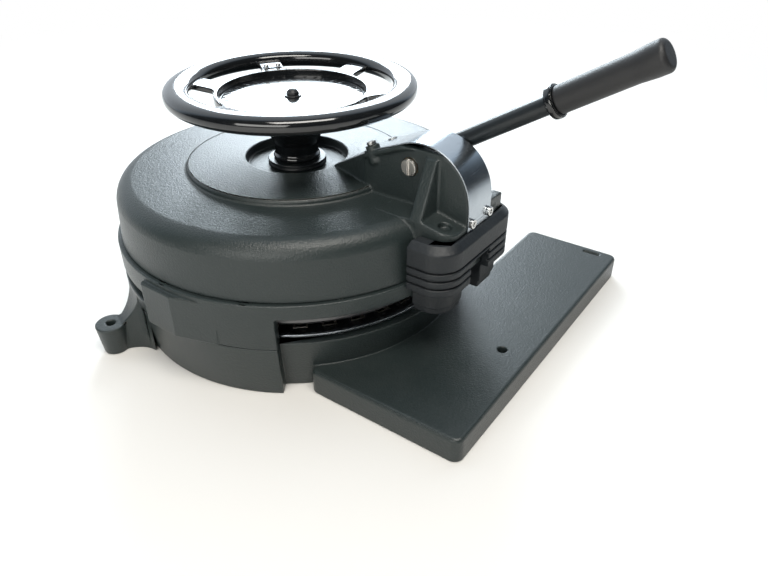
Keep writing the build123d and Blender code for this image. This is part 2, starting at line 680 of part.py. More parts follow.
def band_screws():
    screw = socket_screw(BAND_SCREW_R, 9.0, BAND_HEAD_R, BAND_HEAD_T)
    face = ARC_Y - ARC_R - BAND_T
    screws = []
    for x in (-BAND_SCREW_X, BAND_SCREW_X):
        screws.append(Pos(x, face, BAND_SCREW_Z) * Rot(90, 0, 0) * screw)
        screws.append(rear_screw_place(x) * Pos(0, 0, BAND_T) * screw)
    return Compound(children=screws)


def shaft_bushes():
    bushes = []
    length = CHEEK_T - CHEEK_LIP
    for low in (-CHEEK_OUT + CHEEK_LIP, CHEEK_OUT - CHEEK_T):
        bush = bar_x(SHAFT_R + 3, low, low + length, PIVOT_Y, PIVOT_Z)
        bushes.append(bush - bar_x(SHAFT_R + RUN_GAP, low - CUT, low + length + CUT, PIVOT_Y, PIVOT_Z))
    return Compound(children=bushes)


def ram_bush():
    return Pos(0, PIVOT_Y, 0) * tube(RAM_BUSH_R, RAM_R + RUN_GAP, *RAM_BUSH_Z)


def guard_layer(low, high, inset):
    depth = GUARD_BACK - GUARD_FRONT
    outline = RectangleRounded(2 * (GUARD_HALF_W - inset), 2 * (depth - inset), GUARD_CORNER - inset)
    return Pos(0, GUARD_BACK, low) * extrude(outline, high - low)


def front_guard():
    top_groove = GROOVE_Z + GROOVE_PITCH * (GROOVES - 1) + GROOVE_W
    body = guard_layer(top_groove, GUARD_TOP, 0)
    body = chamfer(body.faces().sort_by(Axis.Z)[-1].edges(), GUARD_CHAMFER)
    for index in range(GROOVES):
        low = GROOVE_Z + index * GROOVE_PITCH
        body += guard_layer(low, low + GROOVE_W, GROOVE_D)
        if index:
            body += guard_layer(low - GROOVE_PITCH + GROOVE_W, low, 0)
    body += guard_layer(GUARD_STEP_Z, GROOVE_Z, 0)
    body += guard_layer(GUARD_BOTTOM, GUARD_STEP_Z, GUARD_STEP)
    body -= block((-GUARD_HALF_W - CUT, GUARD_HALF_W + CUT), (GUARD_BACK, 0), (GUARD_BOTTOM - CUT, GUARD_TOP + CUT))
    body -= disc(RING_R + GUARD_DRUM_GAP, GUARD_BOTTOM - CUT, GUARD_TOP + CUT)
    wide = BLOCK_HALF_W + GUARD_DRUM_GAP
    body -= block((-wide, wide), (BLOCK_FRONT, GUARD_BACK), (BLOCK_BOTTOM - GUARD_DRUM_GAP, GUARD_TOP + CUT))
    body -= block((-NOTCH_HALF_W, NOTCH_HALF_W), (GUARD_FRONT - CUT, GUARD_BACK), (GUARD_BOTTOM - CUT, NOTCH_TOP))
    return body.solids().sort_by(SortBy.VOLUME)[-1]


# --- turning group ------------------------------------------------------------------
def spindle():
    body = disc(SPINDLE_R, SPINDLE_FOOT_Z, DISH_FLOOR - DISH_FLOOR_T - 1)
    body = chamfer(body.edges(), 1.0)
    return body + disc(STUD_R, DISH_FLOOR - DISH_FLOOR_T - 2, DISH_FLOOR + DIAL_T + NUT_T)


def square_holes(width, low, high, front=True):
    cutter = block((-width / 2, width / 2), (-width / 2, width / 2), (low, high))
    return [at_circle(STATION_R, station_angle(index)) * cutter for index in used_stations(front)]


def die_disc():
    bottom = DIE_TOP_Z - DIE_T
    lower_r = PAN_R - 2
    body = turned([(SPINDLE_R, bottom - DIE_HUB_T), (DIE_HUB_R, bottom - DIE_HUB_T), (DIE_HUB_R, bottom),
                   (lower_r, bottom), (lower_r, DIE_TOP_Z - DIE_FLANGE_T), (DIE_RIM_R, DIE_TOP_Z - DIE_FLANGE_T),
                   (DIE_RIM_R, DIE_TOP_Z), (SPINDLE_R, DIE_TOP_Z)])
    return body - square_holes(PUNCH_W + 4, bottom - CUT, DIE_TOP_Z + CUT)


def die_buttons():
    bottom = DIE_TOP_Z - DIE_T
    half = (PUNCH_W + 4) / 2
    hole = PUNCH_W / 2 + 0.1
    button = block((-half, half), (-half, half), (bottom, DIE_TOP_Z))
    button -= block((-hole, hole), (-hole, hole), (bottom - CUT, DIE_TOP_Z + CUT))
    return Compound(children=[at_circle(STATION_R, station_angle(i)) * button for i in used_stations(True)])


def throat_spacer():
    return tube(THROAT_INNER_R, SPINDLE_R, DIE_TOP_Z, DIE_TOP_Z + THROAT)


def punch_disc():
    low = DIE_TOP_Z + THROAT
    high = low + GUIDE_T
    body = turned([(SPINDLE_R, low), (GUIDE_R - GUIDE_LEAD, low), (GUIDE_R, low + GUIDE_LEAD), (GUIDE_R, high),
                   (FLEX_R_OUT, high), (FLEX_R_OUT, high - FLEX_DEPTH), (FLEX_R_IN, high - FLEX_DEPTH),
                   (FLEX_R_IN, high), (SPINDLE_R, high)])
    return body - square_holes(PUNCH_W + 2 * RUN_GAP, low - CUT, high + CUT)


def punch():
    low = DIE_TOP_Z + THROAT + PUNCH_LIFT
    half = PUNCH_W / 2
    head = HEAD_W / 2
    body = block((-half, half), (-half, half), (low, HEAD_Z))
    return body + block((-head, head), (-head, head), (HEAD_Z, HEAD_Z + HEAD_T))


def punches():
    return Compound(children=[at_circle(STATION_R, station_angle(i)) * punch() for i in used_stations(False)])


def station_punch():
    return at_circle(STATION_R, station_angle(0)) * punch()


def finger(index):
    """One finger of the leaf spring, climbing from its ring to the punch head."""
    low = DIE_TOP_Z + THROAT + GUIDE_T
    top = HEAD_Z - BODY_GAP / 4
    end = STATION_R + HEAD_W / 2
    wire = Polyline((STAR_R_OUT - 3, low), (STAR_R_OUT + 3, low), (STATION_R - HEAD_W / 2, top - STAR_T),
                    (end, top - STAR_T), (end, top), (STATION_R - HEAD_W / 2 - 1, top),
                    (STAR_R_OUT + 2, low + STAR_T), (STAR_R_OUT - 3, low + STAR_T), close=True)
    strip = Plane.XZ * make_face(wire)
    body = Pos(0, FINGER_W / 2 + 1, 0) * extrude(strip, FINGER_W + 2, dir=(0, -1, 0))
    half = PUNCH_W / 2 + 0.3
    body -= block((STATION_R - half, end + CUT), (-half, half), (low, HEAD_Z + CUT))
    return Rot(0, 0, station_angle(index)) * body


def spring_star():
    low = DIE_TOP_Z + THROAT + GUIDE_T
    body = tube(STAR_R_OUT, STAR_R_IN, low, low + STAR_T)
    for index in used_stations(False):
        body += finger(index)
    for index in range(6):
        body -= at_circle((STAR_R_IN + STAR_R_OUT) / 2, index * 60) * disc(2.5, low - CUT, low + 5)
    return body


def star_screws():
    low = DIE_TOP_Z + THROAT + GUIDE_T + STAR_T
    screw = socket_screw(2.5, STAR_T, 4.5, 3.0)
    return Compound(children=[at_circle((STAR_R_IN + STAR_R_OUT) / 2, index * 60, low) * screw for index in range(6)])


def index_ring():
    top = DIE_TOP_Z - DIE_T
    body = tube(INDEX_R, INDEX_R_IN, top - INDEX_T, top)
    for index in range(STATIONS):
        notch = Cone(NOTCH_R, NOTCH_R - NOTCH_DEPTH * 0.7, NOTCH_DEPTH, align=MIN3)
        body -= at_circle(DETENT_R, 360.0 / STATIONS * index, top - INDEX_T) * notch
    return body


def index_low():
    """Underside of the index ring, where the detent's plunger meets it."""
    return DIE_TOP_Z - DIE_T - INDEX_T


def detent_place():
    return at_circle(DETENT_R, DETENT_AZ)


def detent_block():
    length, width, height = DETENT_BLOCK
    foot = block((-length / 2, length / 2), (-width / 2, width / 2), (PAN_FLOOR, PAN_FLOOR + 5))
    post = disc(width / 2, PAN_FLOOR, PAN_FLOOR + height)
    body = foot + post - disc(PLUNGER_R + RUN_GAP, PAN_FLOOR - CUT, PAN_FLOOR + height + CUT)
    for x in DETENT_SCREW_X:
        body -= Pos(x, 0, 0) * disc(2.0, PAN_FLOOR - CUT, PAN_FLOOR + 6)
    return detent_place() * body


def detent_screws():
    screw = socket_screw(2.0, 12.0, 3.2, 3.0)
    return Compound(children=[detent_place() * Pos(x, 0, PAN_FLOOR + 5) * screw for x in DETENT_SCREW_X])


def detent_plunger():
    """Its nose sits in one of the ring's notches; the collar takes the spring."""
    shoulder = index_low() - BODY_GAP
    low = PAN_FLOOR + DETENT_TRAVEL + BODY_GAP
    body = disc(PLUNGER_R, low, shoulder) + disc(PLUNGER_COLLAR_R, shoulder - 2, shoulder)
    nose = Cone(NOTCH_R - BODY_GAP, NOTCH_R - BODY_GAP - NOTCH_DEPTH * 0.7, NOTCH_DEPTH, align=MIN3)
    return detent_place() * (body + Pos(0, 0, shoulder) * nose)


def detent_spring():
    low = PAN_FLOOR + DETENT_BLOCK[2] + DETENT_WIRE / 2
    high = index_low() - BODY_GAP - 2 - DETENT_WIRE / 2
    path = Helix(pitch=(high - low) / 3, height=high - low, radius=PLUNGER_R + DETENT_WIRE)
    start = Plane(origin=path @ 0, z_dir=path % 0)
    coil = sweep(start * Circle(DETENT_WIRE / 2), path=path)
    return detent_place() * Pos(0, 0, low) * coil


def wheel_hub():
    body = turned([(SPINDLE_R, HUB_NECK_Z), (HUB_LOW_R + 2, HUB_NECK_Z), (HUB_LOW_R + 2, HUB_NECK_Z + 3),
                   (HUB_LOW_R, HUB_NECK_Z + 5), (HUB_LOW_R, HUB_LOW_Z), (HUB_TOP_R, HUB_TOP_Z - 14),
                   (HUB_TOP_R, HUB_TOP_Z), (SPINDLE_R, HUB_TOP_Z)])
    return body


def rim_outline():
    """Flat oval section of the rim, as four arcs."""
    half_w, half_h = WHEEL_RIM_HALF_W, WHEEL_RIM_HALF_H
    knee_w, knee_h = 0.64 * half_w, 0.82 * half_h
    right_low, right_high = (knee_w, -knee_h), (knee_w, knee_h)
    left_low, left_high = (-knee_w, -knee_h), (-knee_w, knee_h)
    arcs = [(right_low, (half_w, 0), right_high), (right_high, (0, half_h), left_high),
            (left_high, (-half_w, 0), left_low), (left_low, (0, -half_h), right_low)]
    return Curve() + [ThreePointArc(*[(WHEEL_RIM_R + x, WHEEL_Z + z) for x, z in arc]) for arc in arcs]


def spoke():
    """A flat spoke on +X, from under the dish's lip up into the rim."""
    low = DISH_LIP_Z - SPOKE_T
    wire = Polyline((DISH_R - 3, low - 3), (WHEEL_RIM_R + 3, WHEEL_Z - 4), (WHEEL_RIM_R + 3, WHEEL_Z + 3),
                    (DISH_R - 3, DISH_LIP_Z - 1), close=True)
    strip = Plane.XZ * make_face(wire)
    return Pos(0, SPOKE_W / 2, 0) * extrude(strip, SPOKE_W, dir=(0, -1, 0))


def handwheel():
    body = revolve(Plane.XZ * make_face(rim_outline()), Axis.Z, 360)
    for index in range(SPOKES):
        body += Rot(0, 0, SPOKE_AZ + 360.0 / SPOKES * index) * spoke()
    floor_low = DISH_FLOOR - DISH_FLOOR_T
    body += turned([(STUD_R + 0.2, floor_low), (DISH_R - 6, floor_low), (DISH_R, floor_low + 5),
                    (DISH_R, DISH_LIP_Z - 1), (DISH_R - 1, DISH_LIP_Z), (DISH_R - DISH_LIP_W, DISH_LIP_Z),
                    (DISH_R - DISH_LIP_W - 1, DISH_FLOOR), (STUD_R + 0.2, DISH_FLOOR)])
    return body - [clip_place(side) * disc(CLIP_SCREW_R, -2, CUT) for side in (-CLIP_AT, CLIP_AT)]


def dial_plate():
    body = tube(DIAL_R, STUD_R + 0.2, DISH_FLOOR, DISH_FLOOR + DIAL_T)
    length, width, depth = DIAL_TICK
    tick = block((DIAL_R - 2 - length, DIAL_R - 2), (-width / 2, width / 2), (DISH_FLOOR + DIAL_T - depth, DISH_FLOOR + 5))
    return body - [Rot(0, 0, station_angle(index)) * tick for index in range(STATIONS)]


def wheel_nut():
    base = DISH_FLOOR + DIAL_T + NUT_WASHER_T
    body = Pos(0, 0, base) * extrude(RegularPolygon(NUT_AF / 2, 6, major_radius=False), NUT_T)
    cap_r = (NUT_AF / 2 - 0.6)
    body += Pos(0, 0, base + NUT_T - 0.01) * Cone(cap_r, cap_r * 0.45, NUT_DOME, align=MIN3)
    return body - disc(STUD_R, base - CUT, DISH_FLOOR + DIAL_T + NUT_T)


def wheel_washer():
    low = DISH_FLOOR + DIAL_T
    return tube(NUT_WASHER_R, STUD_R, low, low + NUT_WASHER_T)


def spoke_top(radius):
    """Height of a spoke's top face at a radius."""
    low, high = (DISH_R - 3, DISH_LIP_Z - 1), (WHEEL_RIM_R + 3, WHEEL_Z + 3)
    return low[1] + (radius - low[0]) * (high[1] - low[1]) / (high[0] - low[0])


def clip_place(side=0.0):
    """On the spoke at the far left of the dish, with +X out along its sloping top."""
    radius = DISH_R + CLIP_OUT
    lean = degrees(atan2(spoke_top(radius + 1) - spoke_top(radius), 1))
    return Rot(0, 0, SPOKE_AZ + 60.0) * Pos(radius, side, spoke_top(radius)) * Rot(0, -lean, 0)


def index_clip():
    """Small strip on a spoke, which holds down the slip with the characters."""
    strip = block((-CLIP_W / 2, CLIP_W / 2), (-CLIP_L / 2, CLIP_L / 2), (0, CLIP_T))
    body = clip_place() * strip
    for side in (-CLIP_AT, CLIP_AT):
        body -= clip_place(side) * disc(CLIP_SCREW_R, -CUT, CLIP_T + CUT)
    return body


def clip_screws():
    """Round-headed screws through the strip into the spoke."""
    head = Cone(CLIP_HEAD_R, CLIP_HEAD_R * 0.55, CLIP_HEAD_R * 0.8, align=MIN3)
    screw = disc(CLIP_SCREW_R, -2, CLIP_T) + Pos(0, 0, CLIP_T) * head
    return Compound(children=[clip_place(side) * screw for side in (-CLIP_AT, CLIP_AT)])


# --- lever group --------------------------------------------------------------------
def along_arm(distance):
    """A frame on the lever's line with +Z pointing along it, away from the pivot."""
    return Pos(LEVER_X, PIVOT_Y, PIVOT_Z) * Rot(90 - LEVER_REST, 0, 0) * Pos(0, 0, distance)


def lever_shaft():
    body = bar_x(SHAFT_R, SHAFT_LEFT, SHAFT_RIGHT, PIVOT_Y, PIVOT_Z)
    body = chamfer(body.edges().filter_by(GeomType.CIRCLE), 0.8)
    return body - block((SHAFT_LEFT - CUT, SHAFT_LEFT + 1.2), (PIVOT_Y - 0.8, PIVOT_Y + 0.8), (PIVOT_Z - 12, PIVOT_Z + 12))


def lever_arm():
    eye = bar_x(EYE_R, LEVER_X - EYE_W / 2, LEVER_X + EYE_W / 2, PIVOT_Y, PIVOT_Z)
    stem = along_arm(0) * Cylinder(ARM_R, COLLAR_AT, align=MIN3)
    stud = along_arm(0) * Cylinder(GRIP_STUD_R, GRIP_START + GRIP_L - 12, align=MIN3)
    body = eye + stem + stud
    return body - bar_x(SHAFT_R, LEVER_X - EYE_W, LEVER_X + EYE_W, PIVOT_Y, PIVOT_Z)


def lever_collar():
    body = along_arm(COLLAR_AT) * Cylinder(LEVER_COLLAR_R, COLLAR_L, align=MIN3)
    body = chamfer(body.edges(), 1.2)
    return body - along_arm(COLLAR_AT - CUT) * Cylinder(GRIP_STUD_R, COLLAR_L + 2 * CUT, align=MIN3)


def grip():
    profile = Curve() + [
        Polyline((0, 0), (GRIP_R - 1.5, 0)),
        ThreePointArc((GRIP_R - 1.5, 0), (GRIP_R - 0.45, 0.45), (GRIP_R, 1.5)),
        Polyline((GRIP_R, 1.5), (GRIP_R, GRIP_L - 26), (GRIP_END_R, GRIP_L - 12), (GRIP_END_R, GRIP_L - 4)),
        ThreePointArc((GRIP_END_R, GRIP_L - 4), (GRIP_END_R - 1.2, GRIP_L - 1.2), (GRIP_END_R - 4, GRIP_L)),
        Polyline((GRIP_END_R - 4, GRIP_L), (0, GRIP_L), (0, 0)),
    ]
    body = revolve(Plane.XZ * make_face(profile), Axis.Z, 360)
    body -= disc(GRIP_STUD_R, -CUT, GRIP_L - 12)
    return along_arm(GRIP_START) * body


def shaft_nut():
    body = bar_x(SHAFT_R + 5, LEVER_X + ARM_R + BODY_GAP, SHAFT_RIGHT + 2.0, PIVOT_Y, PIVOT_Z)
    return body - bar_x(SHAFT_R, SHAFT_LEFT, SHAFT_RIGHT, PIVOT_Y, PIVOT_Z)


def cam():
    """Its face is an involute, so that the ram sinks evenly as the lever turns."""
    def on_face(turn):
        lift = CAM_LOW + CAM_RATE * turn
        facing = radians(-90) - turn
        y = lift * cos(facing) + CAM_RATE * sin(facing)
        z = lift * sin(facing) - CAM_RATE * cos(facing)
        return (PIVOT_Y + y, PIVOT_Z + z)

    first, last = radians(-12), radians(LEVER_SWING + 14)
    steps = 9
    points = [on_face(first + (last - first) * index / (steps - 1)) for index in range(steps)]
    face = Spline(*points)
    lobe = make_face(Curve() + [face, Polyline(points[-1], (PIVOT_Y, PIVOT_Z), points[0])])
    lobe = Plane.YZ * lobe
    body = Pos(-CAM_W / 2, 0, 0) * extrude(lobe, CAM_W, dir=(1, 0, 0))
    body += bar_x(SHAFT_R + 4, -CAM_W / 2, CAM_W / 2, PIVOT_Y, PIVOT_Z)
    return body - bar_x(SHAFT_R, -CAM_W, CAM_W, PIVOT_Y, PIVOT_Z)


# --- ram --------------------------------------------------------------------------
def ram():
    top = PIVOT_Z - CAM_LOW - BODY_GAP / 4
    low = HEAD_Z + HEAD_T + BODY_GAP / 4
    body = disc(RAM_R, low, top - RAM_CAP_T + CUT)
    body = chamfer(body.edges().sort_by(Axis.Z)[0], 1.0)
    return Pos(0, PIVOT_Y, 0) * body


def ram_cap():
    top = PIVOT_Z - CAM_LOW - BODY_GAP / 4
    body = disc(RAM_CAP_R, top - RAM_CAP_T, top) - disc(RAM_R, top - RAM_CAP_T - CUT, top - RAM_CAP_T + CUT)
    return Pos(0, PIVOT_Y, 0) * body


def ram_spring():
    low = RAM_BUSH_Z[1] + SPRING_WIRE / 2
    high = PIVOT_Z - CAM_LOW - RAM_CAP_T - SPRING_WIRE
    turns = 5
    path = Helix(pitch=(high - low) / turns, height=high - low, radius=SPRING_R)
    start = Plane(origin=path @ 0, z_dir=path % 0)
    coil = sweep(start * Circle(SPRING_WIRE / 2), path=path)
    return Pos(0, PIVOT_Y, low) * coil


NODES = [
    base_casting, lower_bush, thrust_washer, lower_ring, post_bolts, housing_screws, top_housing,
    upper_bush, hub_collar, band_cover, band_screws, shaft_bushes, ram_bush, front_guard,
    spindle, die_disc, die_buttons, throat_spacer, punch_disc, punches, spring_star, star_screws,
    index_ring, wheel_hub, handwheel, dial_plate, index_clip, clip_screws, wheel_nut, wheel_washer,
    detent_block, detent_screws, detent_spring, detent_plunger,
    lever_shaft, lever_arm, lever_collar, grip, shaft_nut, cam, ram, ram_cap, ram_spring,
    station_punch,
]

os.makedirs("parts", exist_ok=True)
for make in NODES:
    export_step(make(), "parts/" + make.__name__ + ".step")
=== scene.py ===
import bpy
import bmesh
import json
from math import cos, pi, radians, sin
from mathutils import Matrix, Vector
from mathutils.bvhtree import BVHTree

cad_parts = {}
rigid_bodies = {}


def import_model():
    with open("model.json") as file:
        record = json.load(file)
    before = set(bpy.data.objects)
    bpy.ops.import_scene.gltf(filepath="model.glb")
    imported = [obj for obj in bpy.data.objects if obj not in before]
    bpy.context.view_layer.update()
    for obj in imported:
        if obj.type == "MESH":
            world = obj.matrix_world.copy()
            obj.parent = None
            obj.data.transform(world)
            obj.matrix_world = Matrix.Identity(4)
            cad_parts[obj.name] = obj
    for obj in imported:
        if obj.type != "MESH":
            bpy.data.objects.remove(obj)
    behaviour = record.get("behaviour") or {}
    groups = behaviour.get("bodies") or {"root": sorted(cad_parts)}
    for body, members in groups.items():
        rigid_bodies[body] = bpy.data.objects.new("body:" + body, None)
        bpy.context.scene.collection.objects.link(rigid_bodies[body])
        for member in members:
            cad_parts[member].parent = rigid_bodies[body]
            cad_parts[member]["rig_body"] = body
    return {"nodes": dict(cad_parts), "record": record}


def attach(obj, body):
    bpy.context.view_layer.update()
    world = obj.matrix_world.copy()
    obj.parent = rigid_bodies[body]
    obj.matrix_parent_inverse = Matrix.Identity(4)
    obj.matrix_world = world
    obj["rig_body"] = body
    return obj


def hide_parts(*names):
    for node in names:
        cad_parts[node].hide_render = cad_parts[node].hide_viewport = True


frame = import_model()
scene = bpy.context.scene
nodes = frame["nodes"]
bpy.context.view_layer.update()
print("stage: frame loaded", len(nodes))


# shader groups
def newGroup(name, inputs, outputs):
    group = bpy.data.node_groups.new(name, "ShaderNodeTree")
    for label, kind, value in inputs:
        socket = group.interface.new_socket(label, in_out="INPUT", socket_type="NodeSocket" + kind)
        socket.default_value = value
    for label, kind in outputs:
        group.interface.new_socket(label, in_out="OUTPUT", socket_type="NodeSocket" + kind)
    given = group.nodes.new("NodeGroupInput")
    result = group.nodes.new("NodeGroupOutput")
    return group, given.outputs, result.inputs


def addNode(tree, kind, values=None, links=None, **settings):
    node = tree.nodes.new("ShaderNode" + kind)
    for key, value in settings.items():
        setattr(node, key, value)
    for key, value in (values or {}).items():
        node.inputs[key].default_value = value
    for key, source in (links or {}).items():
        tree.links.new(source, node.inputs[key])
    return node


def makeGrainGroup():
    group, given, result = newGroup("castGrain",
        [("Scale", "Float", 700.0), ("Depth", "Float", 0.1), ("Round", "Float", 0.001)],
        [("Normal", "Vector"), ("Height", "Float")])
    place = addNode(group, "TexCoord").outputs["Object"]
    fine = addNode(group, "TexNoise", {"Detail": 3.0, "Roughness": 0.6}, {"Vector": place, "Scale": given["Scale"]})
    third = addNode(group, "Math", {1: 0.4}, {0: given["Scale"]}, operation="MULTIPLY")
    coarse = addNode(group, "TexNoise", {"Detail": 1.0}, {"Vector": place, "Scale": third.outputs[0]})
    total = addNode(group, "Math", {1: 1.6}, {0: coarse.outputs[0], 2: fine.outputs[0]}, operation="MULTIPLY_ADD")
    rounded = addNode(group, "Bevel", links={"Radius": given["Round"]}, samples=6)
    bump = addNode(group, "Bump", {"Distance": 0.0006},
                   {"Strength": given["Depth"], "Height": total.outputs[0], "Normal": rounded.outputs[0]})
    group.links.new(bump.outputs[0], result["Normal"])
    group.links.new(fine.outputs[0], result["Height"])
    return group


# mask along rounded edges, broken up by noise: paint worn off the edges, and on the housing paint also a painted
# highlight along the cast edges and the seam
def makeEdgeGroup():
    group, given, result = newGroup("edgeMask",
        [("Round", "Float", 0.0015), ("Reach", "Float", 0.5)],
        [("Mask", "Float")])
    rounded = addNode(group, "Bevel", links={"Radius": given["Round"]}, samples=4)
    flat = addNode(group, "NewGeometry")
    dot = addNode(group, "VectorMath", links={0: rounded.outputs[0], 1: flat.outputs["Normal"]},
                  operation="DOT_PRODUCT")
    place = addNode(group, "TexCoord").outputs["Object"]
    noise = addNode(group, "TexNoise", {"Scale": 160.0, "Detail": 4.0}, {"Vector": place})
    bend = addNode(group, "Math", {0: 1.0}, {1: dot.outputs["Value"]}, operation="SUBTRACT")
    broken = addNode(group, "Math", links={0: bend.outputs[0], 1: noise.outputs[0]}, operation="MULTIPLY")
    scaled = addNode(group, "MapRange", {"From Min": 0.05, "From Max": 0.22}, {"Value": broken.outputs[0]})
    final = addNode(group, "Math", links={0: scaled.outputs[0], 1: given["Reach"]}, operation="MULTIPLY")
    group.links.new(final.outputs[0], result["Mask"])
    return group


def makeDustGroup():
    group, given, result = newGroup("dustMask", [("Amount", "Float", 0.2)], [("Mask", "Float")])
    flat = addNode(group, "NewGeometry")
    parts = addNode(group, "SeparateXYZ", links={0: flat.outputs["Normal"]})
    up = addNode(group, "MapRange", {"From Min": 0.3, "From Max": 1.0}, {"Value": parts.outputs["Z"]})
    place = addNode(group, "TexCoord").outputs["Object"]
    noise = addNode(group, "TexNoise", {"Scale": 22.0, "Detail": 6.0, "Roughness": 0.7}, {"Vector": place})
    cloud = addNode(group, "MapRange", {"From Min": 0.42, "From Max": 0.75}, {"Value": noise.outputs[0]})
    both = addNode(group, "Math", links={0: up.outputs[0], 1: cloud.outputs[0]}, operation="MULTIPLY")
    final = addNode(group, "Math", links={0: both.outputs[0], 1: given["Amount"]}, operation="MULTIPLY")
    group.links.new(final.outputs[0], result["Mask"])
    return group


def makeBrushGroup():
    group, given, result = newGroup("brushedGrain",
        [("Stretch", "Vector", (20.0, 900.0, 900.0)), ("Depth", "Float", 0.05), ("Round", "Float", 0.0006)],
        [("Normal", "Vector"), ("Height", "Float")])
    place = addNode(group, "TexCoord").outputs["Object"]
    drawn = addNode(group, "VectorMath", links={0: place, 1: given["Stretch"]}, operation="MULTIPLY")
    noise = addNode(group, "TexNoise", {"Scale": 1.0, "Detail": 4.0, "Roughness": 0.65}, {"Vector": drawn.outputs[0]})
    rounded = addNode(group, "Bevel", links={"Radius": given["Round"]}, samples=4)
    bump = addNode(group, "Bump", {"Distance": 0.0002},
                   {"Strength": given["Depth"], "Height": noise.outputs[0], "Normal": rounded.outputs[0]})
    group.links.new(bump.outputs[0], result["Normal"])
    group.links.new(noise.outputs[0], result["Height"])
    return group


grainGroup = makeGrainGroup()
edgeGroup = makeEdgeGroup()
dustGroup = makeDustGroup()
brushGroup = makeBrushGroup()


def groupNode(tree, group, values=None):
    node = tree.nodes.new("ShaderNodeGroup")
    node.node_tree = group
    for key, value in (values or {}).items():
        node.inputs[key].default_value = value
    return node


def mixColors(tree, mask, first, second):
    mix = addNode(tree, "Mix", data_type="RGBA")
    tree.links.new(mask, mix.inputs["Factor"])
    for key, value in ((6, first), (7, second)):
        if isinstance(value, tuple):
            mix.inputs[key].default_value = value + (1.0,)
        else:
            tree.links.new(value, mix.inputs[key])
    return mix.outputs[2]


def newMaterial(name):
    material = bpy.data.materials.new(name)
    material.use_nodes = True
    tree = material.node_tree
    shader = tree.nodes["Principled BSDF"]
    return material, tree, shader


def paintMaterial(name, color, wearAndHighlight, roughness, grain, depth, edge, dust, spread=0.08, coat=0.0):
    material, tree, shader = newMaterial(name)
    bump = groupNode(tree, grainGroup, {"Scale": grain, "Depth": depth, "Round": 0.0012})
    wearAndHighlightMask = groupNode(tree, edgeGroup, {"Reach": edge})
    settled = groupNode(tree, dustGroup, {"Amount": dust})
    # edges take the edge colour: wear, and on the housing paint a painted highlight line as well
    edged = mixColors(tree, wearAndHighlightMask.outputs["Mask"], color, wearAndHighlight)
    dusted = mixColors(tree, settled.outputs["Mask"], edged, dustColor)
    tree.links.new(dusted, shader.inputs["Base Color"])
    tree.links.new(bump.outputs["Normal"], shader.inputs["Normal"])
    rough = addNode(tree, "MapRange", {"To Min": roughness - spread, "To Max": roughness + spread},
                    {"Value": bump.outputs["Height"]})
    tree.links.new(rough.outputs[0], shader.inputs["Roughness"])
    shader.inputs["Coat Weight"].default_value = coat
    shader.inputs["Coat Roughness"].default_value = 0.06
    return material


def metalMaterial(name, color, roughness, stretch, depth, soil=0.25, spread=0.1):
    material, tree, shader = newMaterial(name)
    brush = groupNode(tree, brushGroup, {"Stretch": stretch, "Depth": depth})
    place = addNode(tree, "TexCoord").outputs["Object"]
    cloud = addNode(tree, "TexNoise", {"Scale": 45.0, "Detail": 5.0, "Roughness": 0.65}, {"Vector": place})
    spots = addNode(tree, "MapRange", {"From Min": 0.5, "From Max": 0.8, "To Max": soil}, {"Value": cloud.outputs[0]})
    tree.links.new(mixColors(tree, spots.outputs[0], color, soilColor), shader.inputs["Base Color"])
    rough = addNode(tree, "MapRange", {"To Min": roughness - spread, "To Max": roughness + spread},
                    {"Value": brush.outputs["Height"]})
    tree.links.new(rough.outputs[0], shader.inputs["Roughness"])
    tree.links.new(brush.outputs["Normal"], shader.inputs["Normal"])
    shader.inputs["Metallic"].default_value = 1.0
    return material


dustColor = (0.42, 0.41, 0.39)
soilColor = (0.05, 0.05, 0.05)
paints = {
    # the housing's light edge colour is partly wear and partly a painted highlight along its edges and the seam
    "housing_paint": dict(name="housingPaint", color=(0.020, 0.028, 0.028), wearAndHighlight=(0.20, 0.20, 0.18), roughness=0.35,
                          grain=1300.0, depth=0.34, edge=0.5, dust=0.02),
    "guard_black": dict(name="guardBlack", color=(0.006, 0.009, 0.012), wearAndHighlight=(0.04, 0.04, 0.04), roughness=0.5,
                        grain=900.0, depth=0.25, edge=0.3, dust=0.04),
    "black_enamel": dict(name="blackEnamel", color=(0.006, 0.007, 0.008), wearAndHighlight=(0.02, 0.02, 0.02), roughness=0.12,
                         grain=200.0, depth=0.012, edge=0.2, dust=0.03, spread=0.03, coat=0.6),
    "grip_rubber": dict(name="gripRubber", color=(0.016, 0.016, 0.017), wearAndHighlight=(0.03, 0.03, 0.03), roughness=0.5,
                        grain=1100.0, depth=0.12, edge=0.1, dust=0.03),
    "dark_steel": dict(name="darkSteel", color=(0.02, 0.021, 0.023), wearAndHighlight=(0.12, 0.12, 0.12), roughness=0.32,
                       grain=900.0, depth=0.06, edge=0.6, dust=0.0),
}
metals = {
    "cast_disc": dict(name="castDisc", color=(0.16, 0.16, 0.165), roughness=0.42, stretch=(400.0, 400.0, 400.0),
                      depth=0.2),
    "bright_steel": dict(name="brightSteel", color=(0.44, 0.48, 0.52), roughness=0.24,
                         stretch=(35.0, 1400.0, 1400.0), depth=0.05),
    "ground_steel": dict(name="groundSteel", color=(0.68, 0.65, 0.60), roughness=0.34, stretch=(900.0, 900.0, 60.0),
                         depth=0.05),
    "spring_steel": dict(name="springSteel", color=(0.24, 0.26, 0.30), roughness=0.34,
                         stretch=(500.0, 500.0, 500.0), depth=0.04),
    "zinc_steel": dict(name="zincSteel", color=(0.60, 0.60, 0.59), roughness=0.28, stretch=(600.0, 600.0, 600.0),
                       depth=0.06),
    "bronze": dict(name="bronze", color=(0.52, 0.34, 0.16), roughness=0.34, stretch=(600.0, 600.0, 600.0),
                   depth=0.06),
}
materials = {slot: paintMaterial(**values) for slot, values in paints.items()}
materials.update({slot: metalMaterial(**values) for slot, values in metals.items()})
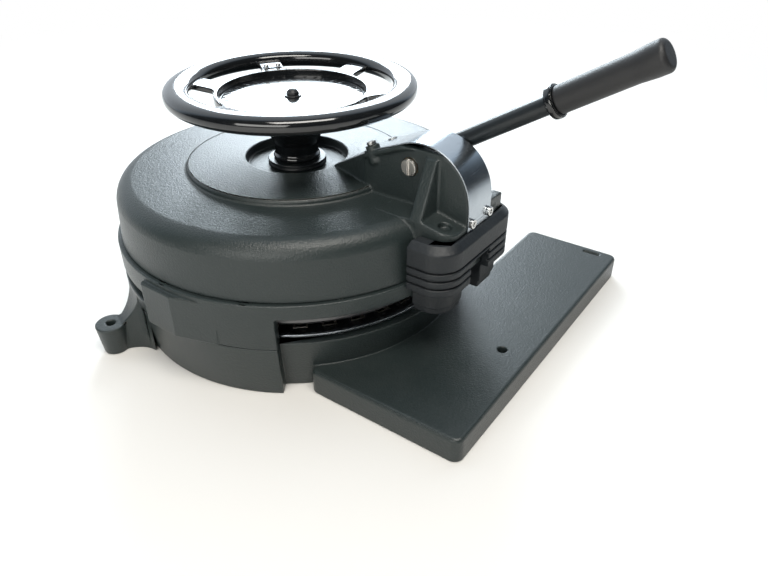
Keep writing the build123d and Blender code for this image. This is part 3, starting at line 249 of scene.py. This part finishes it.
# duller paint of the lever's arm and the collar under the hub, in the same slot as the enamel
leverPaint = paintMaterial("leverPaint", (0.012, 0.015, 0.017), (0.03, 0.03, 0.03), 0.34, 900.0, 0.05, 0.2, 0.02)
slotOf = {part["node"]: part["material_slot"] for part in frame["record"]["subparts"]}
for name, node in nodes.items():
    material = materials[slotOf[name]]
    if not node.material_slots:
        node.data.materials.append(material)
    for slot in node.material_slots:
        slot.material = material
print("stage: materials", len(materials))

# pieces with cast and machined edges, made from the CAD shapes
edgeWidths = {
    "base_casting": (0.0016, 3), "lower_ring": (0.0014, 3), "hub_collar": (0.0007, 3), "wheel_hub": (0.0012, 3),
    "dial_plate": (0.0002, 1), "wheel_washer": (0.0003, 2), "band_cover": (0.0003, 2), "band_screws": (0.0005, 2),
    "lever_shaft": (0.0006, 2), "lever_arm": (0.0010, 3), "lever_collar": (0.0012, 3), "grip": (0.0008, 3),
    "shaft_nut": (0.0010, 3), "die_disc": (0.0004, 2), "punch_disc": (0.0005, 2), "cam": (0.0006, 2),
    "index_clip": (0.0003, 2), "clip_screws": (0.0005, 3), "post_bolts": (0.0006, 2), "housing_screws": (0.0004, 2),
}
dullNodes = ("lever_arm", "hub_collar")
flatNodes = ("base_casting", "lower_ring")      # their coplanar faces are joined before the edges are rounded
mm = 0.001
sizes = {
    "merge": 2e-6, "onPlane": 1e-7, "offAxis": 1e-5, "nothing": 1e-9,
    "sharpTurn": 28.0, "flatTurn": 0.6, "bendTurn": 0.4, "stray": 0.7,
    "tail": {"lean": 22.0, "front": -150.0, "near": 3.6, "far": -2.4},
}


def mergedShape(node):
    shape = bmesh.new()
    shape.from_mesh(node.data)
    bmesh.ops.remove_doubles(shape, verts=shape.verts, dist=sizes["merge"])
    return shape


def markEdges(shape):
    layer = shape.edges.layers.float.get("bevel_weight_edge") or shape.edges.layers.float.new("bevel_weight_edge")
    for edge in shape.edges:
        if len(edge.link_faces) == 2 and edge.calc_face_angle() > radians(sizes["sharpTurn"]):
            edge[layer] = 1.0


def pullBack(mesh, tree, reach):
    for point in mesh.vertices:
        near, normal, face, distance = tree.find_nearest(point.co)
        if distance > reach:
            point.co = near


def newPiece(name, mesh):
    piece = bpy.data.objects.new(name, mesh)
    scene.collection.objects.link(piece)
    return piece


def bake(piece):
    first = piece.data
    baked = bpy.data.meshes.new_from_object(piece.evaluated_get(bpy.context.evaluated_depsgraph_get()))
    piece.modifiers.clear()
    piece.data = baked
    bpy.data.meshes.remove(first)


def assign(piece, name, label):
    piece.data.materials.clear()
    piece.data.materials.append(leverPaint if name in dullNodes else materials[slotOf[name]])
    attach(piece, nodes[name]["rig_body"])
    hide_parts(name)
    print(label, name, len(piece.data.polygons))
    return piece


def rounded(name, shape, width, steps, label):
    tree = BVHTree.FromBMesh(shape)
    markEdges(shape)
    mesh = bpy.data.meshes.new(name + "Soft")
    shape.to_mesh(mesh)
    shape.free()
    mesh.shade_smooth()
    piece = newPiece(name + "Soft", mesh)
    bevel = piece.modifiers.new("edges", "BEVEL")
    bevel.width = width
    bevel.segments = steps
    bevel.limit_method = "WEIGHT"
    bevel.use_clamp_overlap = False
    bevel.miter_outer = "MITER_ARC"
    evener = piece.modifiers.new("normals", "WEIGHTED_NORMAL")
    evener.mode = "FACE_AREA"
    evener.weight = 60
    evener.keep_sharp = True
    bake(piece)
    pullBack(piece.data, tree, width * sizes["stray"])
    return assign(piece, name, label)


def softened(name, width, steps):
    shape = mergedShape(nodes[name])
    if name in flatNodes:
        bmesh.ops.dissolve_limit(shape, angle_limit=radians(sizes["flatTurn"]), verts=shape.verts, edges=shape.edges)
    return rounded(name, shape, width, steps, "soft")


pieces = {name: softened(name, width, steps) for name, (width, steps) in edgeWidths.items() if name in nodes}
# the band's rear screws: the near one stands on a boss, the far one lies low
tail = sizes["tail"]
tailUp = Vector((0, sin(radians(tail["lean"])), cos(radians(tail["lean"]))))
for point in pieces["band_screws"].data.vertices:
    if point.co.y > tail["front"] * mm:
        point.co += tailUp * (tail["near"] if point.co.x < 0 else tail["far"]) * mm
print("stage: soft pieces", len(pieces))

# turned and built pieces, sizes in millimetres
def section(name, turn):
    shape = mergedShape(nodes[name])
    along = Vector((cos(radians(turn)), sin(radians(turn)), 0))
    across = Vector((-along.y, along.x, 0))
    bmesh.ops.bisect_plane(shape, geom=shape.verts[:] + shape.edges[:] + shape.faces[:], plane_co=(0, 0, 0),
                           plane_no=across, dist=sizes["onPlane"], clear_inner=True, clear_outer=True)
    left = [edge for edge in shape.edges if all(point.co.dot(along) > sizes["offAxis"] for point in edge.verts)]
    loops = []
    while left:
        line = list(left.pop(0).verts)
        while True:
            ahead = [edge for edge in line[-1].link_edges if edge in left]
            if not ahead:
                break
            left.remove(ahead[0])
            line.append(ahead[0].other_vert(line[-1]))
        loops.append([Vector((point.co.dot(along), point.co.z)) for point in line[:-1]])
    shape.free()
    return loops


def cleaned(line, gap):
    kept = [line[0]]
    for index in range(1, len(line)):
        before, here, after = kept[-1], line[index], line[(index + 1) % len(line)]
        if (here - before).length < gap:
            continue
        bend = (here - before).angle(after - here, 0.0) if (after - here).length > sizes["nothing"] else 0.0
        if bend > radians(sizes["bendTurn"]):
            kept.append(here)
    return kept


def lathe(shape, line, steps=256):
    rings = [[shape.verts.new((point.x * cos(turn), point.x * sin(turn), point.y)) for point in line]
             for turn in (2 * pi * step / steps for step in range(steps))]
    skin(shape, rings, True)


def skin(shape, rings, loop):
    count = len(rings)
    for step in range(count if loop else count - 1):
        ring, other = rings[step], rings[(step + 1) % count]
        for index in range(len(ring)):
            follow = (index + 1) % len(ring)
            shape.faces.new((ring[index], other[index], other[follow], ring[follow]))
    if not loop:
        shape.faces.new(rings[0])
        shape.faces.new(rings[-1][::-1])


def outward(shape):
    bmesh.ops.recalc_face_normals(shape, faces=shape.faces)
    return shape


def blockShape(low, high):
    shape = bmesh.new()
    corners = [[shape.verts.new(((low, high)[i][0] * mm, (low, high)[j][1] * mm, z * mm)) for i, j in
                ((0, 0), (1, 0), (1, 1), (0, 1))] for z in (low[2], high[2])]
    skin(shape, corners, False)
    return outward(shape)


def drumShape(radius, low, high, x=0.0, y=0.0, steps=256):
    shape = bmesh.new()
    rings = [[shape.verts.new(((x + radius * cos(turn)) * mm, (y + radius * sin(turn)) * mm, z * mm))
              for turn in (2 * pi * step / steps for step in range(steps))] for z in (low, high)]
    skin(shape, rings, False)
    return outward(shape)


def meshOf(name, shape):
    mesh = bpy.data.meshes.new(name)
    shape.to_mesh(mesh)
    shape.free()
    return mesh


def combined(name, shape, others, how):
    piece = newPiece(name, meshOf(name, shape))
    cutters = []
    for other in others:
        cutter = newPiece(name + "Cutter", meshOf(name + "Cutter", other))
        cutters.append(cutter)
        step = piece.modifiers.new("cut", "BOOLEAN")
        step.operation = how
        step.solver = "EXACT"
        step.object = cutter
    bake(piece)
    for cutter in cutters:
        mesh = cutter.data
        bpy.data.objects.remove(cutter)
        bpy.data.meshes.remove(mesh)
    result = bmesh.new()
    result.from_mesh(piece.data)
    mesh = piece.data
    bpy.data.objects.remove(piece)
    bpy.data.meshes.remove(mesh)
    return result


# dome of the housing
domeSize = {"turn": 60, "gap": 0.12, "camRoom": ((-13, -206, 155), (13, -122, 180)), "edge": 1.7,
            "ramRoom": dict(radius=15.2, low=98, high=158, x=0, y=-153, steps=64)}
dome = bmesh.new()
lathe(dome, cleaned(section("top_housing", domeSize["turn"])[0], domeSize["gap"] * mm))
outward(dome)
domeTree = BVHTree.FromBMesh(dome)
dome = combined("dome", dome, [blockShape(*domeSize["camRoom"]), drumShape(**domeSize["ramRoom"])], "DIFFERENCE")
pieces["dome"] = rounded("top_housing", dome, domeSize["edge"] * mm, 4, "dome")

# band round the top of the ring, over its bolt pockets
bandSize = {"line": ((184.6, 99.0), (189.98, 99.0), (189.99, 106.05), (184.6, 106.05)), "edge": 1.6}
band = bmesh.new()
lathe(band, [Vector((radius * mm, z * mm)) for radius, z in bandSize["line"]])
pieces["ringBand"] = rounded("lower_ring", outward(band), bandSize["edge"] * mm, 4, "band")

# lever head, cast in one with the dome
headSize = {"box": ((-55, -232, 106.5), (55, -46, 216)), "voxel": 0.95, "sink": 0.35, "kept": 0.6, "passes": 5,
            "finBox": ((21, -214, 161.5), (48, -202, 216)), "finMiddle": 40, "finRight": (47.5, 165.0),
            "finLeft": (24.5, 165.6)}
lugSize = {"seat": (-15.5, -110.5, 202.85), "radius": 6.6, "foot": 12.0, "sheet": 1.5, "sides": 48}


def within(place, low, high):
    return all(low[axis] < place[axis] < high[axis] for axis in range(3))


def lugShape():
    seat, turnOut = Vector(lugSize["seat"]), Vector((1, 0, 0))
    turnUp = tailUp.cross(turnOut)
    ends = (seat - tailUp * lugSize["foot"], seat + tailUp * (lugSize["sheet"] + tail["near"]))
    lug = bmesh.new()
    rings = [[lug.verts.new((end + (turnOut * cos(turn) + turnUp * sin(turn)) * lugSize["radius"]) * mm)
              for turn in (2 * pi * step / lugSize["sides"] for step in range(lugSize["sides"]))] for end in ends]
    skin(lug, rings, False)
    return outward(lug)


head = mergedShape(nodes["top_housing"])
for point in head.verts:
    x, y, z = point.co / mm
    if within((x, y, z), *headSize["finBox"]):
        x, z = headSize["finRight"] if x > headSize["finMiddle"] else headSize["finLeft"]
        point.co = Vector((x, y, z)) * mm
head = combined("head", head, [blockShape(*headSize["box"])], "INTERSECT")
lugMesh = meshOf("lugBoss", lugShape())
head.from_mesh(lugMesh)
bpy.data.meshes.remove(lugMesh)
headPiece = newPiece("headCast", meshOf("headCast", head))
voxels = headPiece.modifiers.new("cast", "REMESH")
voxels.mode = "VOXEL"
voxels.voxel_size = headSize["voxel"] * mm
smooth = headPiece.modifiers.new("smooth", "SMOOTH")
smooth.factor = 0.5
smooth.iterations = headSize["passes"]
fewer = headPiece.modifiers.new("fewer", "DECIMATE")
fewer.ratio = headSize["kept"]
bake(headPiece)
# where it meets the dome it goes under the dome's skin
sink = headSize["sink"] * mm
for point in headPiece.data.vertices:
    near, normal, face, distance = domeTree.find_nearest(point.co)
    if distance < sink:
        point.co = near - normal * sink
headPiece.data.shade_smooth()
pieces["head"] = assign(headPiece, "top_housing", "head")
print("stage: housing")

# guard in front of the punches
guardSize = {
    "half": 64.0, "front": -223.0, "back": -150.0, "corner": 24.0, "edge": 1.0, "weld": 0.005,
    "levels": ((151, 6), (145, 0), (128, 0), (128, 2.6), (126, 2.6), (126, 0), (120, 0), (120, 2.6), (118, 2.6),
               (118, 0), (112, 0), (112, 2.6), (110, 2.6), (110, 0), (103, 0), (103, 8), (84, 8), (84, 10),
               (77.2, 10)),
    "drum": (190.3, 60, 160), "headRoom": ((-47.4, -213.9, 106.6), (47.4, -100, 160)),
    "notch": ((-22.0, -230, 60), (12.0, -100, 124.0)), "behind": ((-80, -180, 60), (80, -100, 160)),
}


def guardRing(shape, z, inset):
    half, front = guardSize["half"] - inset, guardSize["front"] + inset
    corner = guardSize["corner"] - inset * 0.5
    turns = [pi / 2 * step / 16 for step in range(17)]
    arc = [(half - corner + corner * cos(turn), front + corner - corner * sin(turn)) for turn in turns]
    line = [(half, guardSize["back"])] + arc + [(-x, y) for x, y in reversed(arc)] + [(-half, guardSize["back"])]
    return [shape.verts.new((x * mm, y * mm, z * mm)) for x, y in line]


guard = bmesh.new()
skin(guard, [guardRing(guard, z, inset) for z, inset in guardSize["levels"]], False)
outward(guard)
guardCuts = [drumShape(*guardSize["drum"])] + [blockShape(*guardSize[cut]) for cut in ("headRoom", "notch", "behind")]
guard = combined("guard", guard, guardCuts, "DIFFERENCE")
bmesh.ops.remove_doubles(guard, verts=guard.verts, dist=guardSize["weld"] * mm)
pieces["guard"] = rounded("front_guard", guard, guardSize["edge"] * mm, 3, "guard")

# repeats round the axis
def makeRepeatTree():
    tree = bpy.data.node_groups.new("ringRepeat", "GeometryNodeTree")
    tree.interface.new_socket("Geometry", in_out="INPUT", socket_type="NodeSocketGeometry")
    for label, kind in (("Count", "Int"), ("Turn", "Float"), ("Material", "Material")):
        tree.interface.new_socket(label, in_out="INPUT", socket_type="NodeSocket" + kind)
    tree.interface.new_socket("Geometry", in_out="OUTPUT", socket_type="NodeSocketGeometry")
    given, result = tree.nodes.new("NodeGroupInput").outputs, tree.nodes.new("NodeGroupOutput").inputs
    link = tree.links.new
    points = tree.nodes.new("GeometryNodePoints")
    link(given["Count"], points.inputs["Count"])
    index = tree.nodes.new("GeometryNodeInputIndex")
    step = addNode(tree, "Math", {0: 2 * pi}, {1: given["Count"]}, operation="DIVIDE")
    turn = addNode(tree, "Math", links={0: index.outputs[0], 1: step.outputs[0], 2: given["Turn"]},
                   operation="MULTIPLY_ADD")
    axis = addNode(tree, "CombineXYZ", links={"Z": turn.outputs[0]})
    copies = tree.nodes.new("GeometryNodeInstanceOnPoints")
    link(points.outputs[0], copies.inputs["Points"])
    link(given["Geometry"], copies.inputs["Instance"])
    link(axis.outputs[0], copies.inputs["Rotation"])
    real = tree.nodes.new("GeometryNodeRealizeInstances")
    link(copies.outputs[0], real.inputs[0])
    paint = tree.nodes.new("GeometryNodeSetMaterial")
    link(real.outputs[0], paint.inputs["Geometry"])
    link(given["Material"], paint.inputs["Material"])
    link(paint.outputs[0], result["Geometry"])
    return tree


repeatTree = makeRepeatTree()


def ringOf(shape, count, turn, material):
    piece = newPiece("repeat", meshOf("repeat", shape))
    modifier = piece.modifiers.new("repeat", "NODES")
    modifier.node_group = repeatTree
    values = {"Count": count, "Turn": turn, "Material": material}
    for item in repeatTree.interface.items_tree:
        if item.in_out == "INPUT" and item.name in values:
            modifier[item.identifier] = values[item.name]
    bake(piece)
    mesh = piece.data
    bpy.data.objects.remove(piece)
    return mesh


# handwheel: its rim is a lathed line of (radius, height, half width, half height), rounder than an ellipse
wheelSize = {"rim": (111.0, 238.5, 12.5, 8.6), "power": 2.4, "rimSteps": 288, "dishR": 80.0, "dishTurn": 27,
             "gap": 0.2, "edge": 0.8}
spokeSize = {"count": 6, "turn": -3.0, "half": 12.4, "deep": 5.6, "flare": 6.0, "flarePower": 2.2, "nearFlare": 0.22,
             "farFlare": 0.3, "start": 73.5, "long": 33.0, "low": 235.4, "high": 241.2, "round": (1.2, 0.35),
             "steps": 20}


def powered(value):
    return abs(value) ** (2 / wheelSize["power"]) * (1 if value >= 0 else -1)


def rimLine(steps=48):
    radius, z, wide, high = wheelSize["rim"]
    turns = [2 * pi * step / steps for step in range(steps)]
    return [Vector((radius + wide * powered(cos(turn)), z + high * powered(sin(turn)))) * mm for turn in turns]


def spokeRing(shape, share):
    near = max(0.0, 1 - share / spokeSize["nearFlare"])
    far = max(0.0, 1 - (1 - share) / spokeSize["farFlare"])
    power = spokeSize["flarePower"]
    half = spokeSize["half"] + spokeSize["flare"] * (near ** power + far ** power)
    top = spokeSize["low"] + (spokeSize["high"] - spokeSize["low"]) * share
    low = top - spokeSize["deep"]
    wide, slight = spokeSize["round"]
    side = [(half - wide, top), (half - slight, top - slight), (half, top - wide), (half, low + wide),
            (half - slight, low + slight), (half - wide, low)]
    ring = side + [(-x, z) for x, z in reversed(side)]
    radius = spokeSize["start"] + spokeSize["long"] * share
    return [shape.verts.new(Vector((radius, x, z)) * mm) for x, z in ring]


wheel = bmesh.new()
lathe(wheel, rimLine(), wheelSize["rimSteps"])
dishLine = next(line for line in section("handwheel", wheelSize["dishTurn"])
                if max(point.x for point in line) < wheelSize["dishR"] * mm)
lathe(wheel, cleaned(dishLine, wheelSize["gap"] * mm))
spoke = bmesh.new()
skin(spoke, [spokeRing(spoke, step / spokeSize["steps"]) for step in range(spokeSize["steps"] + 1)], False)
spokes = ringOf(outward(spoke), spokeSize["count"], radians(spokeSize["turn"]), materials["black_enamel"])
wheel.from_mesh(spokes)
bpy.data.meshes.remove(spokes)
outward(wheel)
pieces["wheel"] = rounded("handwheel", wheel, wheelSize["edge"] * mm, 3, "wheel")

# domed nut in the middle of the dish
nutSize = {"flats": 11.0, "low": 230.7, "shoulder": 234.0, "top": 236.8, "domeR": 5.0, "pole": 0.2, "sunk": 1.0,
           "edge": 0.4}


def nutDome():
    shoulder, radius, pole = nutSize["shoulder"], nutSize["domeR"], nutSize["pole"]
    rise = nutSize["top"] - shoulder
    foot = [(pole, shoulder - nutSize["sunk"]), (radius, shoulder - nutSize["sunk"])]
    arc = [(radius * cos(turn), shoulder + rise * sin(turn)) for turn in (pi / 2 * step / 8 for step in range(8))]
    return [Vector(place) * mm for place in foot + arc + [(pole, nutSize["top"])]]


nut = bmesh.new()
corner = nutSize["flats"] / 2 / cos(pi / 6)
skin(nut, [[nut.verts.new(Vector((corner * cos(pi / 3 * side), corner * sin(pi / 3 * side), z)) * mm)
            for side in range(6)] for z in (nutSize["low"], nutSize["shoulder"])], False)
lathe(nut, nutDome(), 48)
outward(nut)
pieces["nut"] = rounded("wheel_nut", nut, nutSize["edge"] * mm, 2, "nut")
print("stage: wheel and nut")

# room and light
def plainMaterial(name, color, roughness):
    material, tree, shader = newMaterial(name)
    shader.inputs["Base Color"].default_value = color + (1.0,)
    shader.inputs["Roughness"].default_value = roughness
    return material


def fadedFloor():
    material = plainMaterial("floorPaper", (0.86, 0.84, 0.81), 0.6)
    tree = material.node_tree
    shader, end = tree.nodes["Principled BSDF"], tree.nodes["Material Output"]
    place = addNode(tree, "TexCoord").outputs["Object"]
    reach = addNode(tree, "VectorMath", links={0: place}, operation="LENGTH")
    far = addNode(tree, "MapRange", {"From Min": 0.55, "From Max": 1.6}, {"Value": reach.outputs["Value"]},
                  interpolation_type="SMOOTHSTEP")
    seen = addNode(tree, "LightPath")
    share = addNode(tree, "Math", links={0: far.outputs[0], 1: seen.outputs["Is Camera Ray"]}, operation="MULTIPLY")
    white = addNode(tree, "Emission")
    mix = addNode(tree, "MixShader", links={0: share.outputs[0], 1: shader.outputs[0], 2: white.outputs[0]})
    tree.links.new(mix.outputs[0], end.inputs["Surface"])
    return material


floorHalf = 6
floorMesh = bpy.data.meshes.new("floor")
floorMesh.from_pydata([(x * floorHalf, y * floorHalf, 0) for x, y in ((-1, -1), (1, -1), (1, 1), (-1, 1))], [],
                      [(0, 1, 2, 3)])
floor = newPiece("floor", floorMesh)
floorMesh.materials.append(fadedFloor())


def makeWorld():
    world = bpy.data.worlds.new("studio")
    world.use_nodes = True
    tree = world.node_tree
    background = tree.nodes["Background"]
    heading = addNode(tree, "TexCoord").outputs["Generated"]
    ahead = addNode(tree, "VectorMath", {1: (0.62, 0.72, 0.30)}, {0: heading}, operation="DOT_PRODUCT")
    ramp = addNode(tree, "ValToRGB", links={"Fac": ahead.outputs["Value"]})
    bands = ramp.color_ramp
    bands.elements[0].position, bands.elements[0].color = 0.0, (0.045, 0.048, 0.05, 1.0)
    bands.elements[1].position, bands.elements[1].color = 0.62, (0.88, 0.96, 1.04, 1.0)
    for position, color in ((0.30, (0.07, 0.085, 0.10, 1.0)), (0.48, (0.62, 0.75, 0.88, 1.0))):
        bands.elements.new(position).color = color
    seen = addNode(tree, "LightPath")
    mix = addNode(tree, "Mix", data_type="RGBA")
    tree.links.new(seen.outputs["Is Camera Ray"], mix.inputs["Factor"])
    tree.links.new(ramp.outputs["Color"], mix.inputs[6])
    mix.inputs[7].default_value = (1.0, 1.0, 1.0, 1.0)
    tree.links.new(mix.outputs[2], background.inputs["Color"])
    background.inputs["Strength"].default_value = 1.0
    return world


scene.world = makeWorld()


def areaLight(name, place, target, size, power, color):
    light = bpy.data.lights.new(name, "AREA")
    light.shape = "RECTANGLE"
    light.size, light.size_y = size
    light.energy = power
    light.color = color
    lamp = newPiece(name, light)
    lamp.location = place
    lamp.rotation_euler = (Vector(target) - Vector(place)).to_track_quat("-Z", "Y").to_euler()


lights = {
    "windowAhead": dict(place=(1.56, 1.29, 1.06), target=(0, 0, 0.2), size=(1.2, 0.95), power=45.0,
                        color=(0.82, 0.93, 1.0)),
    "windowLeft": dict(place=(-1.9, -0.5, 0.9), target=(0, 0, 0.1), size=(1.6, 0.9), power=20.0,
                       color=(1.0, 0.99, 0.95)),
    "softTop": dict(place=(-0.5, -0.7, 2.0), target=(0, 0, 0.1), size=(1.4, 0.7), power=34.0,
                    color=(1.0, 0.97, 0.91)),
}
for name, values in lights.items():
    areaLight(name, **values)

# the photo's camera, fitted to the circles of the wheel, the raised disc and the seam
cameraSize = {"lens": 31.4, "sensor": 36.0, "near": 0.01, "place": (-0.4850, -0.4568, 0.4308),
              "turn": (57.01, 0.0, -54.5)}
lens = bpy.data.cameras.new("photoCamera")
lens.lens = cameraSize["lens"]
lens.sensor_width = cameraSize["sensor"]
lens.clip_start = cameraSize["near"]
camera = newPiece("photoCamera", lens)
camera.location = cameraSize["place"]
camera.rotation_euler = [radians(turn) for turn in cameraSize["turn"]]
scene.camera = camera
scene.view_settings.view_transform = "Standard"
print("stage: room")
